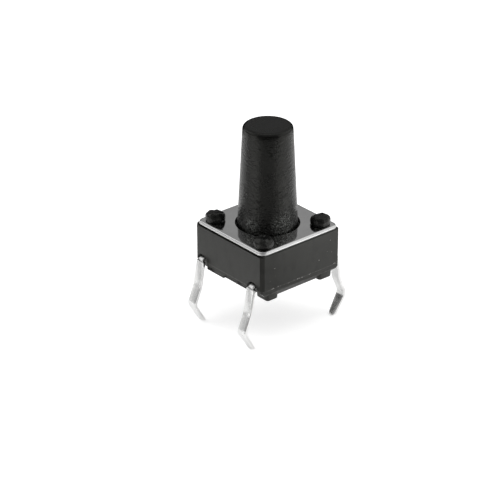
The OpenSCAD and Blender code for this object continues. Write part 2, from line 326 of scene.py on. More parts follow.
# ---------------------------------------------------------------- materials
class Shader:
    """Small wrapper that builds one principled material. Its places and depths are in millimetres."""

    def __init__(self, name, **settings):
        self.material = bpy.data.materials.new(name)
        self.material.use_nodes = True
        self.tree = self.material.node_tree
        self.bsdf = self.tree.nodes["Principled BSDF"]
        for key, value in settings.items():
            self.bsdf.inputs[key.replace("_", " ")].default_value = value

    def node(self, kind, **settings):
        """Adds a node. A setting is one of its properties, or else the value of an input."""
        made = self.tree.nodes.new(kind)
        for key, value in settings.items():
            if hasattr(made, key):
                setattr(made, key, value)
            else:
                made.inputs[key.replace("_", " ")].default_value = value
        return made

    def link(self, source, target):
        self.tree.links.new(source, target)

    def place(self, stretch=(1, 1, 1)):
        """Object coordinates in millimetres, stretched along an axis if asked."""
        coords = self.node("ShaderNodeTexCoord")
        scale = self.node("ShaderNodeMapping")
        scale.inputs["Scale"].default_value = [k / MM for k in stretch]
        self.link(coords.outputs["Object"], scale.inputs["Vector"])
        return scale.outputs["Vector"]

    def noise(self, vector, scale, detail=3.0, roughness=0.55):
        made = self.node("ShaderNodeTexNoise", Scale=scale, Detail=detail, Roughness=roughness)
        self.link(vector, made.inputs["Vector"])
        return made.outputs["Fac"]

    def spread(self, value, low, high, out_low=0.0, out_high=1.0):
        """Maps a stretch of one value on to another, held at both ends."""
        made = self.node("ShaderNodeMapRange")
        made.inputs["From Min"].default_value = low
        made.inputs["From Max"].default_value = high
        made.inputs["To Min"].default_value = out_low
        made.inputs["To Max"].default_value = out_high
        self.link(value, made.inputs["Value"])
        return made.outputs["Result"]

    def mix(self, factor, first, second):
        """Colour between two, given as colours or sockets."""
        made = self.node("ShaderNodeMix", data_type="RGBA")
        for socket, value in ((6, first), (7, second)):
            if isinstance(value, bpy.types.NodeSocket):
                self.link(value, made.inputs[socket])
            else:
                made.inputs[socket].default_value = (*value, 1)
        self.link(factor, made.inputs[0])
        return made.outputs[2]

    def math(self, operation, a, b):
        """Maths node on two numbers or sockets."""
        made = self.node("ShaderNodeMath", operation=operation)
        for socket, value in ((0, a), (1, b)):
            if isinstance(value, bpy.types.NodeSocket):
                self.link(value, made.inputs[socket])
            else:
                made.inputs[socket].default_value = value
        return made.outputs[0]

    def plus(self, a, b):
        return self.math("ADD", a, b)

    def times(self, a, b):
        return self.math("MULTIPLY", a, b)

    def axis_of(self, where, axis="Z"):
        """One coordinate of a place, in millimetres."""
        split = self.node("ShaderNodeSeparateXYZ")
        self.link(where, split.inputs["Vector"])
        return split.outputs[axis]

    def level_band(self, where, height, half):
        """1 at one height, falling to 0 at a distance above and below it."""
        away = self.math("ABSOLUTE", self.math("SUBTRACT", self.axis_of(where), height), 0.0)
        return self.spread(away, 0.3 * half, half, 1.0, 0.0)

    def near(self, where, point, reach):
        """1 at a point, falling to 0 at a distance from it."""
        gap = self.node("ShaderNodeVectorMath", operation="DISTANCE")
        self.link(where, gap.inputs[0])
        gap.inputs[1].default_value = point
        return self.spread(gap.outputs["Value"], 0.3 * reach, reach, 1.0, 0.0)

    def bump(self, height, depth, strength=1.0, under=None):
        """Bump of a height field of a given depth, laid over another bump if there is one."""
        made = self.node("ShaderNodeBump", Strength=strength, Distance=depth * MM)
        self.link(height, made.inputs["Height"])
        if under is not None:
            self.link(under, made.inputs["Normal"])
        return made.outputs["Normal"]

    def colour(self, socket):
        self.link(socket, self.bsdf.inputs["Base Color"])

    def roughness(self, socket):
        self.link(socket, self.bsdf.inputs["Roughness"])

    def specular(self, socket):
        self.link(socket, self.bsdf.inputs["Specular IOR Level"])

    def normal(self, socket):
        self.link(socket, self.bsdf.inputs["Normal"])


WARM_GLOSS = (1.0, 1.0, 0.94, 1.0)


def skirt_shade_mask(s, where):
    """1 along a ragged band of painted shade at the lower edge of the two side skirts, of which one half
    hangs lower.
    """
    edge_height, step = 0.09, BODY_HALF * SKIRT_STEP_Y
    x, y, z = (s.axis_of(where, axis) for axis in "XYZ")
    low_z, high_z = SKIRT_LOW_Z + edge_height, SKIRT_Z + edge_height
    limit = s.spread(s.times(x, y), -step - 0.06, -step, low_z, high_z)
    ragged = s.spread(s.noise(where, 2.6, 3.0), 0.5, 0.62, 0.0, 0.15)
    low = s.spread(s.math("SUBTRACT", s.plus(limit, ragged), z), 0.0, 0.04)
    out = s.spread(s.math("ABSOLUTE", x, 0.0), SHOULDER_HALF + 0.02, BODY_HALF - 0.04)
    return s.times(low, out)


def housing_plastic():
    """Satin black moulding, with a pale band along its parting line and slant edge that is partly dust and
    partly a painted highlight, and painted shade along the lower edge of its skirts.
    """
    s = Shader("housing_plastic", Specular_Tint=WARM_GLOSS)
    where = s.place()
    cloud = s.noise(where, 0.9, 4.0)
    smudge = s.noise(s.place((1.0, 1.0, 0.45)), 1.7, 3.0)
    grain = s.noise(where, 14.0, 3.0)
    fleck_noise = s.spread(s.noise(where, 7.0, 3.0), 0.45, 0.6)
    clouded = s.mix(s.spread(cloud, 0.35, 0.7), (0.0105, 0.0105, 0.0098), (0.0165, 0.0165, 0.0153))
    plain = s.mix(s.spread(smudge, 0.5, 0.66, 0.0, 0.7), clouded, (0.005, 0.005, 0.0046))
    # Pale bands at the parting line and the slant edge: partly dust, partly a painted highlight standing in
    # for light that the edges catch.
    edges = s.math("MAXIMUM", s.level_band(where, LEDGE_Z + 0.01, 0.04), s.level_band(where, SLANT_Z, 0.05))
    dust = s.times(edges, s.plus(s.times(fleck_noise, 0.6), 0.4))
    dust_and_sheen = s.mix(dust, plain, (0.075, 0.075, 0.07))
    # Painted shade: along the skirts' lower edge the colour goes near black and the gloss is turned down,
    # where the face curves under into shade.
    skirt_shade = s.times(skirt_shade_mask(s, where), s.plus(s.times(fleck_noise, 0.5), 0.5))
    s.colour(s.mix(skirt_shade, dust_and_sheen, (0.001, 0.001, 0.001)))
    s.roughness(s.spread(cloud, 0.3, 0.7, 0.31, 0.42))
    s.specular(s.math("SUBTRACT", 0.42, s.times(skirt_shade, 0.36)))
    waves = s.bump(cloud, 0.02, 0.25)
    s.normal(s.bump(grain, 0.006, 0.5, waves))
    return s.material


def post_plastic():
    """The same moulding where it was melted and pressed: smoother and lumpy."""
    s = Shader("staked_plastic", Specular_IOR_Level=0.34, Specular_Tint=WARM_GLOSS)
    where = s.place()
    lumps = s.noise(where, 3.0, 3.0)
    s.colour(s.mix(s.spread(lumps, 0.35, 0.7), (0.006, 0.006, 0.006), (0.01, 0.01, 0.0095)))
    s.roughness(s.spread(lumps, 0.35, 0.65, 0.14, 0.3))
    s.normal(s.bump(lumps, 0.06, 0.8))
    return s.material


def stem_plastic():
    """Black moulding, smooth on top, whose side has a spark-eroded grain in short level strokes."""
    s = Shader("stem_plastic", Specular_IOR_Level=0.3, Specular_Tint=WARM_GLOSS)
    where = s.place()
    height = s.axis_of(where)
    side = s.spread(height, STEM_TOP - 0.36, STEM_TOP - 0.18, 1.0, 0.04)
    base = s.spread(height, PLATE_TOP + 0.4, PLATE_TOP + 1.7, 1.0, 0.0)
    patches = s.noise(where, 0.7, 3.0)
    worn = s.spread(s.noise(where, 1.1, 2.0), 0.42, 0.6, 0.25, 1.0)
    strokes = s.spread(s.noise(s.place((0.38, 0.38, 1.0)), 8.0, 2.0, 0.5), 0.5, 0.64)
    strokes = s.times(strokes, worn)
    grains = s.spread(s.noise(where, 9.0, 2.0, 0.5), 0.35, 0.7)
    plain = s.mix(s.spread(patches, 0.35, 0.7), (0.0034, 0.0034, 0.0032), (0.0056, 0.0056, 0.0053))
    pale = s.mix(s.times(grains, side), plain, (0.0066, 0.0066, 0.0061))
    inked = s.mix(s.times(strokes, side), pale, (0.0008, 0.0008, 0.0007))
    # Painted highlight: pale flecks in two places low on the stem stand in for sparkle of reflected light,
    # and they stay in place whatever the light or view.
    s.colour(s.mix(stem_painted_sparkle(s, where), inked, (0.12, 0.125, 0.12)))
    matt = s.spread(patches, 0.35, 0.65, 0.24, 0.3)
    s.roughness(s.math("SUBTRACT", matt, s.times(base, 0.08)))
    coarse = s.plus(s.times(base, 2.2), 1.0)
    relief = s.times(s.plus(strokes, s.times(grains, 0.45)), coarse)
    s.normal(s.bump(s.times(relief, side), 0.016, 1.0))
    return s.material


def stem_painted_sparkle(s, where):
    """1 on the pale flecks of two painted sparkle highlights low on the stem, at its front and at its left.
    """
    front = s.near(where, (-0.2, -1.72, PLATE_TOP + 0.6), 0.95)
    left = s.times(s.near(where, (-1.68, -0.45, PLATE_TOP + 0.5), 0.65), 0.8)
    flecks = s.spread(s.noise(where, 11.0, 1.0, 0.5), 0.48, 0.64)
    return s.times(s.plus(front, left), flecks)


def plate_steel():
    """Bright tin plate, mirror-like, with faint rolling lines and hairline scratches."""
    s = Shader("plate_steel", Metallic=1.0)
    where = s.place()
    rolled = s.noise(s.place((0.25, 9.0, 1.0)), 2.0, 2.0)
    cloud = s.noise(where, 1.3, 3.0)
    s.colour(s.mix(s.spread(cloud, 0.3, 0.7), (0.73, 0.73, 0.73), (0.79, 0.79, 0.785)))
    face = s.spread(rolled, 0.4, 0.7, 0.06, 0.14)
    rim = s.spread(s.axis_of(where), PLATE_TOP - 0.04, PLATE_TOP - 0.004, 0.3, 0.0)
    s.roughness(s.plus(face, rim))
    s.normal(s.bump(rolled, 0.0008, 0.5))
    return s.material


def lead_tin():
    """Satin tin plate with drawn lines along each lead."""
    s = Shader("lead_tin", Metallic=1.0)
    coords = s.node("ShaderNodeTexCoord")
    along = s.node("ShaderNodeMapping")
    along.inputs["Scale"].default_value = (12.0, 0.6, 1.0)
    s.link(coords.outputs["UV"], along.inputs["Vector"])
    streaks = s.noise(along.outputs["Vector"], 1.0, 3.0)
    cloud = s.noise(s.place(), 2.2, 4.0)
    tone = s.plus(s.times(streaks, 0.6), s.times(cloud, 0.4))
    s.colour(s.mix(s.spread(tone, 0.35, 0.65), (0.72, 0.72, 0.71), (0.9, 0.9, 0.895)))
    s.roughness(s.spread(cloud, 0.3, 0.7, 0.17, 0.28))
    s.normal(s.bump(streaks, 0.008, 0.6))
    return s.material


def dome_steel():
    """Spring steel of the snap dome, faintly mottled."""
    s = Shader("dome_steel", Metallic=1.0, Roughness=0.22)
    cloud = s.noise(s.place(), 4.0, 3.0)
    s.colour(s.mix(s.spread(cloud, 0.3, 0.7), (0.62, 0.6, 0.57), (0.74, 0.72, 0.69)))
    s.normal(s.bump(cloud, 0.004, 0.4))
    return s.material


def dust_fibre():
    """Pale lint."""
    s = Shader("dust_fibre", Roughness=0.9)
    specks = s.noise(s.place(), 20.0, 2.0)
    s.colour(s.mix(s.spread(specks, 0.35, 0.65), (0.35, 0.34, 0.32), (0.6, 0.59, 0.56)))
    return s.material


# ---------------------------------------------------------------- housing
def half_turn(outline):
    return [(-x, -y) for x, y in outline]


def block(name, x, y, z):
    """Box between two values on each axis, in either order."""
    (x0, x1), (y0, y1), (z0, z1) = sorted(x), sorted(y), sorted(z)
    return solid(name, upright([(x0, y0), (x1, y0), (x1, y1), (x0, y1)], z0, z1))


def main_block():
    """Block above the ledge, with flat upright corners and a chamfered top edge."""
    rings = []
    for z, inset in ((LEDGE_Z, 0), (SEAT_Z - TOP_CHAMFER, 0), (SEAT_Z, TOP_CHAMFER)):
        half = BODY_HALF - inset
        near = half - CORNER_CUT + inset / 2
        corners = ((half, near), (near, half), (-near, half), (-half, near))
        outline = list(corners) + half_turn(corners)
        rings.append([(x, y, z) for x, y in outline])
    return solid("housing_moulding", rings)


def lower_block():
    """Core and slanted shoulders under the ledge."""
    top = LEDGE_Z + SUNK
    shoulder_low = SHOULDER_HALF - SHOULDER_SLANT
    slant_top = (SHOULDER_Z + LEDGE_Z) / 2
    half = [
        (CORE_HALF, UNDERSIDE_Z), (CORE_HALF, SHOULDER_Z), (shoulder_low, SHOULDER_Z),
        (SHOULDER_HALF, slant_top), (SHOULDER_HALF, top),
    ]
    side = half + [(-x, z) for x, z in reversed(half)]
    lower = solid("lower_block", along_y(side, -LOWER_HALF, LOWER_HALF))
    low_half, wide_half = LOWER_HALF - SIDE_SLANT, LOWER_HALF + HAIR
    half = [(low_half, UNDERSIDE_Z - HAIR), (wide_half, SLANT_Z), (wide_half, top + 2 * SUNK)]
    front = half + [(-y, z) for y, z in reversed(half)]
    combine(lower, solid("slants", along_x(front, -BODY_HALF, BODY_HALF)), "INTERSECT")
    return lower


def skirt(turn):
    """Side skirt between two notches, with one half a little lower than the other."""
    x = (turn * SKIRT_ROOT, turn * BODY_HALF)
    long_part = block("skirt", x, (-LEAD_ROW, LEAD_ROW), (SKIRT_Z, LEDGE_Z + SUNK))
    low_y = (-turn * LEAD_ROW, -turn * SKIRT_STEP_Y)
    combine(long_part, block("low_skirt", x, low_y, (SKIRT_LOW_Z, SKIRT_Z + 2 * SUNK)), "UNION")
    return long_part


def foot(turn, x, width):
    """Moulded foot that narrows a little towards the board."""
    centre = FOOT_LENGTH / 2 - LOWER_HALF
    rings = []
    for z, draft in FOOT_DRAFT:
        outline = rounded_rect(width - 2 * draft, FOOT_LENGTH - 2 * draft, FOOT_CORNER_R, 4)
        rings.append([(turn * (x + px), turn * (centre + py), z) for px, py in outline])
    return solid("foot", rings)


def notch(side, row):
    """Arched notch that a lead leaves through."""
    y = row * LEAD_ROW - side * NOTCH_SHIFT
    outline = [(y - NOTCH_R, -PAST), (y + NOTCH_R, -PAST)]
    outline += arc(y, NOTCH_TOP - NOTCH_R, NOTCH_R, 0, 180, 16)
    return solid("notch", along_x(outline, *sorted((side * NOTCH_HALF, side * (BODY_HALF + PAST / 2)))))


def rebate(side):
    """Step in the top edge of a side wall, under the plate's rim."""
    x = (side * (BODY_HALF - REBATE_D), side * (BODY_HALF + PAST))
    return block("rebate", x, (-BODY_HALF - PAST, BODY_HALF + PAST), (SEAT_Z - REBATE_H, SEAT_Z + PAST))


def build_housing(material):
    housing = main_block()
    combine(housing, lower_block(), "UNION")
    for turn in (1, -1):
        combine(housing, skirt(turn), "UNION")
        for x, width in FEET:
            combine(housing, foot(turn, x, width), "UNION")
    for side in (-1, 1):
        for row in (-1, 1):
            combine(housing, notch(side, row), "DIFFERENCE")
        combine(housing, rebate(side), "DIFFERENCE")
    pocket = turned_rings([(POCKET_R, POCKET_FLOOR), (POCKET_R, SEAT_Z + PAST)], 96)
    combine(housing, solid("pocket", pocket), "DIFFERENCE")
    key_x = stem_high.x + KEY_GAP
    slot_z = (POCKET_FLOOR + KEY_SLOT_RISE, SEAT_Z + PAST)
    key_slot = block("key_slot", (-key_x, key_x), (-KEY_SLOT_HALF, KEY_SLOT_HALF), slot_z)
    combine(housing, key_slot, "DIFFERENCE")
    for centre in EJECTOR_MARKS:
        mark = turned_rings([(EJECTOR_R, 0), (EJECTOR_R, UNDERSIDE_Z + EJECTOR_DEPTH)], 40, centre)
        combine(housing, solid("ejector_mark", mark), "DIFFERENCE")
    soften(housing)
    return install(housing, "housing", material, ["base_housing"])


def head_profile():
    """(radius, height) points up a melted head: its belly, its round shoulder, its dished top."""
    belly_out, crown_out = HEAD_R - HEAD_WAIST_R, HEAD_R - HEAD_CROWN_R
    rise = HEAD_HEIGHT - HEAD_BELLY_Z
    profile = [(HEAD_WAIST_R + belly_out * u, HEAD_BELLY_Z * v) for u, v in arc(0, 1, 1, -90, 0, 5)]
    shoulder = arc(0, 0, 1, 8, 90, 9)
    profile += [(HEAD_CROWN_R + crown_out * u, HEAD_BELLY_Z + rise * v) for u, v in shoulder]
    for k in (3, 2, 1):
        profile.append((HEAD_CROWN_R * k / 4, HEAD_HEIGHT - HEAD_DISH * (1 - k / 4) ** 2))
    return profile


def staked_head(index, x, y, lean, seed):
    """Post end that was melted over the plate: a lumpy cap, different on each post."""
    segments, broad_lumps, fine_lumps, dents = 56, 0.09, 0.04, 0.075
    bed = PLATE_TOP + 0.003
    rings = []
    for radius, z in head_profile():
        share = z / HEAD_HEIGHT
        ring = []
        for k in range(segments):
            a = 2 * math.pi * k / segments
            px, py = math.cos(a), math.sin(a)
            broad = noise.noise(Vector((px * 1.2, py * 1.2, z * 1.5 + seed)))
            fine = noise.noise(Vector((px * 3.0, py * 3.0, z * 6.0 + seed * 3)))
            swell = 1 + broad_lumps * broad + fine_lumps * fine
            dip = share * dents * noise.noise(Vector((radius * px * 4, radius * py * 4, seed)))
            tilt = share * radius * (lean[0] * px + lean[1] * py)
            r = min(radius * swell, POST_HEAD_R)
            ring.append((x + r * px, y + r * py, PLATE_TOP + z + dip + tilt))
        rings.append(ring)
    rings[0] = [(px, py, bed) for px, py, _ in rings[0]]
    shank = turned_rings([(POST_R, SEAT_Z - 0.02), (POST_R, bed)], segments, (x, y))
    head = solid(f"staked_head_{index}", shank + rings)
    return smooth(head, 50)


def build_posts(material):
    seed_step = 3.7
    places = ((-1, -1), (1, -1), (1, 1), (-1, 1))
    for index, ((sx, sy), lean) in enumerate(zip(places, HEAD_LEANS), 1):
        head = staked_head(index, sx * POST_CENTRE, sy * POST_CENTRE, lean, seed_step * index)
        install(head, "housing", material)


# ---------------------------------------------------------------- cover plate
def build_plate(material):
    """Pressed plate with a rolled rim, the stem's hole and a hole for each post."""
    rim = [(RIM_FOOT, 0.0), (RIM_FOOT_CUT, RIM_FOOT_CUT), (0.0, RIM_FOOT)]
    rim += [(RIM_ROLL_R - x, z) for x, z in arc(0, PLATE_T - RIM_ROLL_R, RIM_ROLL_R, 0, 90, 7)]
    rings = []
    for inset, z in rim:
        size = 2 * (PLATE_HALF - inset)
        outline = rounded_rect(size, size, RIM_CORNER_R - inset, 10)
        rings.append([(x, y, SEAT_Z + z) for x, y in outline])
    plate = solid("cover_plate_pressing", rings)
    holes = [(HOLE_R, 128, (0, 0))]
    holes += [(POST_HOLE_R, 48, (x * POST_CENTRE, y * POST_CENTRE)) for x in (-1, 1) for y in (-1, 1)]
    for radius, segments, centre in holes:
        hole = turned_rings([(radius, SEAT_Z - PAST), (radius, PLATE_TOP + PAST)], segments, centre)
        combine(plate, solid("hole", hole), "DIFFERENCE")
    soften(plate)
    drop_slivers(plate.data)
    return install(plate, "housing", material, ["cover_plate"])


# ---------------------------------------------------------------- stem
def stem_profile():
    """(radius, z) points from the middle of the pusher's foot up to the middle of the top."""
    foot_z, side_steps = stem_low.z, 60
    profile = [(0.02, foot_z), (PUSHER_R - PUSHER_CUT, foot_z), (PUSHER_R, foot_z + PUSHER_CUT)]
    profile += [(PUSHER_R, FLANGE_Z - ROOT_CUT), (PUSHER_R + ROOT_CUT, FLANGE_Z)]
    profile += [(FLANGE_R - FLANGE_CUT, FLANGE_Z), (FLANGE_R, FLANGE_Z + FLANGE_CUT)]
    profile += [(FLANGE_R, FLANGE_TOP - FLANGE_CUT), (FLANGE_R - FLANGE_CUT, FLANGE_TOP)]
    profile += [(STEM_BASE_R + ROOT_CUT, FLANGE_TOP), (STEM_BASE_R, FLANGE_TOP + ROOT_CUT)]
    profile.append((STEM_BASE_R, PLATE_TOP))
    slope = (STEM_BASE_R - STEM_TOP_R) / (STEM_TOP - PLATE_TOP)
    side_top = STEM_TOP - TOP_EDGE_DROP
    for k in range(1, side_steps):
        z = PLATE_TOP + (side_top - PLATE_TOP) * k / side_steps
        profile.append((STEM_BASE_R - slope * (z - PLATE_TOP), z))
    flat_r = STEM_TOP_R - TOP_EDGE_RUN
    edge = arc(0, 0, 1, 0, 90, 12)
    profile += [(flat_r + TOP_EDGE_RUN * x, side_top + TOP_EDGE_DROP * z) for x, z in edge]
    profile += [(flat_r * k / 8, STEM_TOP) for k in (7.8, 7, 6, 5, 4, 3, 2, 1, 0.1)]
    return profile


def build_stem(material):
    """Tapered stem with its flange and pusher, and the bar whose ends are its two keys."""
    bm = skin(bmesh.new(), turned_rings(stem_profile(), 192))
    bar = rounded_rect(2 * stem_high.x, KEY_W, KEY_CORNER_R, 3)
    skin(bm, upright(bar, FLANGE_Z + 2 * HAIR, FLANGE_TOP - 2 * HAIR))
    stem = smooth(new_object("stem_moulding", bm), 40)
    return install(stem, "plunger", material, ["stem"])


# ---------------------------------------------------------------- leads and contacts
def bent_line(points, radii, steps=7):
    """Line through 2-D points with its inner corners rounded."""
    line = [Vector(points[0])]
    for a, b, c, radius in zip(points, points[1:], points[2:], radii):
        a, b, c = Vector(a), Vector(b), Vector(c)
        u, w = (a - b).normalized(), (c - b).normalized()
        half = u.angle(w) / 2
        centre = b + (u + w).normalized() * radius / math.sin(half)
        start = b + u * radius / math.tan(half) - centre
        side = 1 if (b - a).cross(c - b) > 0 else -1
        sweep = side * (math.pi - 2 * half)
        for k in range(steps + 1):
            line.append(centre + Matrix.Rotation(sweep * k / steps, 2) @ start)
    line.append(Vector(points[-1]))
    return line


def resample(line, step):
    """Adds points so that no stretch is longer than a step."""
    out = [line[0]]
    for a, b in zip(line, line[1:]):
        count = max(1, math.ceil((b - a).length / step))
        out += [a.lerp(b, k / count) for k in range(1, count + 1)]
    return out


def strip_section(width):
    """Section of the strip: across it, then through it."""
    most_round = min(width, LEAD_T) / 2.2
    return rounded_rect(width, LEAD_T, min(LEAD_EDGE, most_round), 3)


def strip_rings(line, place, width_at):
    """Sections of the strip along a 2-D line, and the distance of each from its start."""
    rings, distances = [], [0.0]
    for i, point in enumerate(line):
        before, after = line[max(i - 1, 0)], line[min(i + 1, len(line) - 1)]
        along = (after - before).normalized()
        width, tilt = width_at(point, Vector((-along.y, along.x)))
        rings.append([place(across, point + tilt * through) for across, through in strip_section(width)])
        if i:
            distances.append(distances[-1] + (point - before).length)
    return rings, distances


def lay_uv(bm, first_face, distances):
    """Unrolls a strip's faces: U runs round its section and V along it, both in millimetres."""
    section = strip_section(LEAD_W)
    count = len(section)
    around = [0.0]
    for k in range(count):
        a, b = Vector(section[k]), Vector(section[(k + 1) % count])
        around.append(around[-1] + (b - a).length)
    bm.faces.ensure_lookup_table()
    uv = bm.loops.layers.uv.verify()
    for f in range((len(distances) - 1) * count):
        ring, k = divmod(f, count)
        low, high = distances[ring], distances[ring + 1]
        spots = ((around[k], low), (around[k + 1], low), (around[k + 1], high), (around[k], high))
        for loop, spot in zip(bm.faces[first_face + f].loops, spots):
            loop[uv].uv = spot


def sweep_strip(bm, line, place, width_at):
    """Sweeps the strip's section along a 2-D line. place maps (across, line point) to space."""
    first_face = len(bm.faces)
    rings, distances = strip_rings(line, place, width_at)
    skin(bm, rings)
    lay_uv(bm, first_face, distances)


def smooth_step(value, low, high):
    share = max(0.0, min(1.0, (value - low) / (high - low)))
    return share * share * (3 - 2 * share)


def lead_width(point, normal):
    """Width of a lead at a point, and the direction through its thickness."""
    depth = point.y - LEAD_TIP
    width = LEAD_W
    if point.y > 0 and abs(point.x) > NOTCH_HALF - SUNK:
        width = LEAD_W + (NECK_W - LEAD_W) * smooth_step(abs(normal.y), 0.2, 0.75)
    knee_z = KNEE[1]
    if point.y < knee_z:
        share = (knee_z - point.y) / (knee_z - LEAD_TIP - TIP_R)
        width = LEAD_W + (TIP_W - LEAD_W) * min(share, 1.0)
    if depth < TIP_R:
        inset = TIP_R - math.sqrt(max(TIP_R ** 2 - (TIP_R - depth) ** 2, 0.0))
        width -= 2 * inset
    level = Vector((math.copysign(1.0, normal.x), 0.0))
    share = max(0.0, min(1.0, 1.0 - depth / TIP_LEVEL))
    tilt = normal.lerp(level, share * share).normalized()
    return max(width, TIP_LEAST_W), tilt / max(0.3, tilt.dot(normal))


def lead_line(side):
    """Centre line of one lead in XZ, from under the pocket to its tip."""
    knee, tip = Vector(KNEE), Vector(TIP)
    line = bent_line([(0.0, LEAD_Z), TURN, KINK, knee, tip], (TURN_R, KINK_R, KNEE_R), 10)
    line = resample(line, 0.1)
    near_tip = [knee.lerp(tip, 1 - k * k / 100) for k in range(6, -1, -1)]
    cut_at = near_tip[0].y
    line = [p for p in line if p.x < BODY_HALF or p.y > cut_at + 0.01] + near_tip
    return [Vector((side * p.x, p.y)) for p in line]


def build_terminal(name, node, row, contacts, material):
    """U strip of two facing leads, with its inner tab or arms."""
    bm = bmesh.new()
    line = list(reversed(lead_line(-1))) + lead_line(1)[1:]
    sweep_strip(bm, line, lambda across, p: (p.x, row + across, p.y), lead_width)
    for centre_x, width, points in contacts:
        inner = resample(bent_line(points, (LEAD_T, LEAD_T)), 0.2)
        sweep_strip(
            bm, inner, lambda across, p: (centre_x + across, p.x, p.y), lambda point, normal: (width, normal)
        )
    terminal = smooth(new_object(name, bm), 50)
    return install(terminal, "housing", material, [node])


def contact_line(row, bend, end, z):
    """Centre line in YZ of a tab or arm, from its row of leads up to the dome."""
    bend_start, bend_end = bend
    return [(row, LEAD_Z), (bend_start, LEAD_Z), (bend_end, z), (end, z)]


def build_terminals(material):
    tab = contact_line(-LEAD_ROW, TAB_BEND, TAB_END, centre_high.z - LEAD_T / 2)
    build_terminal("centre_contact_strip", "centre_terminal", -LEAD_ROW, [(0.0, TAB_W, tab)], material)
    arm = contact_line(LEAD_ROW, ARM_BEND, ARM_END, rim_high.z - LEAD_T / 2)
    arm_x = ARM_OUT - LEAD_W / 2
    arms = [(side * arm_x, LEAD_W, arm) for side in (-1, 1)]
    build_terminal("rim_contact_strip", "rim_terminal", LEAD_ROW, arms, material)


def build_dome(material):
    """Snap dome, which in the real switch flattens as the stem goes down; it is built here in its rest
    shape.
    """
    radius = dome_high.x - DOME_MARGIN
    height = dome_high.z - dome_low.z
    rise = height - DOME_T
    sphere = (radius ** 2 + rise ** 2) / (2 * rise)
    centre_z = dome_low.z + rise - sphere
    rim, crown = math.degrees(math.acos(radius / sphere)), 89.8
    inner = arc(0, centre_z, sphere, rim, crown, 24)
    outer = arc(0, centre_z, sphere + DOME_T, crown, rim, 24)
    bm = skin(bmesh.new(), turned_rings(inner + outer, 96), looped=True)
    dome = smooth(new_object("snap_dome_disc", bm), 40)
    install(dome, "housing", material, ["snap_dome"])
    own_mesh(dome)
    return dome


# ---------------------------------------------------------------- dust
def dust_spots():
    """(x, z) of each speck on the front face: most lie along its ledge, a few above it."""
    ledge = [(random.uniform(-2.6, 2.6), LEDGE_Z + random.gauss(0.02, 0.025)) for _ in range(24)]
    return ledge + [(random.uniform(-2.4, 2.4), random.uniform(0.95, 2.7)) for _ in range(7)]


def build_dust(material):
    """Pale specks that cling to the housing's front face."""
    random.seed(11)
    thickness, sunk = 0.006, 0.002
    bm = bmesh.new()
    for x, z in dust_spots():
        size = random.uniform(0.012, 0.034)
        stretch = random.uniform(0.6, 1.8)
        turn = Matrix.Rotation(random.uniform(0, math.pi), 4, "Y")
        flat = Matrix.Diagonal((size * stretch, thickness, size, 1))
        made = bmesh.ops.create_icosphere(bm, subdivisions=1, radius=1.0)
        face_y = -BODY_HALF if z > LEDGE_Z else -LOWER_HALF
        place = Matrix.Translation((x, face_y + sunk, z))
        for v in made["verts"]:
            v.co *= 1 + 0.3 * noise.noise(v.co * 1.7 + Vector((x * 5, z * 5, 0)))
            v.co = place @ turn @ flat @ v.co
    dust = new_object("dust_specks", bm)
    dust.data.shade_smooth()
    return install(dust, "housing", material)


# ---------------------------------------------------------------- stage, light and camera
WHITE = (1, 1, 1, 1)
BLACK = (0, 0, 0, 1)
CAMERA_AIM = Vector((-1.224, 1.031, 2.016)) * MM
CAMERA_AZIMUTH = -40.1
CAMERA_ELEVATION = 27.1
CAMERA_DISTANCE = 127.08 * MM
CAMERA_LENS = 163.94
CAMERA_ROLL = -0.17
LAMP_AIM = Vector((0, 0, 3)) * MM
WALL_DISTANCE = 0.5
AMBIENT = 0.5
FLOOR_RADIUS = 900
FLOOR_TONE = 0.86
FLOOR_LIFT_SEEN = 0.52
FLOOR_LIFT_MIRRORED = 0.35


def direction(azimuth, elevation):
    """Unit vector from the object towards a place, with azimuth 0 at -Y and 90 at +X."""
    a, e = math.radians(azimuth), math.radians(elevation)
    return Vector((math.sin(a) * math.cos(e), -math.cos(a) * math.cos(e), math.sin(e)))


def aim_at(obj, target, roll=0.0):
    look = (target - obj.location).to_track_quat("-Z", "Y")
    obj.rotation_euler = (look.to_matrix() @ Matrix.Rotation(math.radians(roll), 3, "Z")).to_euler()


def soft_box(name, azimuth, elevation, distance, side, radiance):
    """Square lamp that faces the object. Its distance and side are in metres."""
    lamp = bpy.data.lights.new(name, "AREA")
    lamp.shape = "RECTANGLE"
    lamp.size = lamp.size_y = side
    lamp.energy = radiance * math.pi * side * side
    obj = bpy.data.objects.new(name, lamp)
    bpy.context.scene.collection.objects.link(obj)
    obj.location = direction(azimuth, elevation) * distance
    aim_at(obj, LAMP_AIM)
    obj.visible_camera = False
    obj.visible_glossy = False


def build_floor():
    """Plain white floor. What the camera and the reflections see of it is lifted towards white."""
    bm = bmesh.new()
    bmesh.ops.create_circle(bm, cap_ends=True, segments=96, radius=FLOOR_RADIUS)
    floor = new_object("studio_floor", bm)
    floor.data.transform(Matrix.Translation((0, 0, FLOOR_Z - 2 * HAIR)))
    floor.data.transform(Matrix.Scale(MM, 4))
    tone = (FLOOR_TONE, FLOOR_TONE, FLOOR_TONE, 1)
    s = Shader("studio_floor", Roughness=0.9, Base_Color=tone, Specular_IOR_Level=0.0, Emission_Color=WHITE)
    path = s.node("ShaderNodeLightPath")
    seen = s.times(path.outputs["Is Camera Ray"], FLOOR_LIFT_SEEN)
    mirrored = s.plus(path.outputs["Is Glossy Ray"], path.outputs["Is Transmission Ray"])
    lift = s.plus(seen, s.times(mirrored, FLOOR_LIFT_MIRRORED))
    s.link(lift, s.bsdf.inputs["Emission Strength"])
    floor.data.materials.append(s.material)


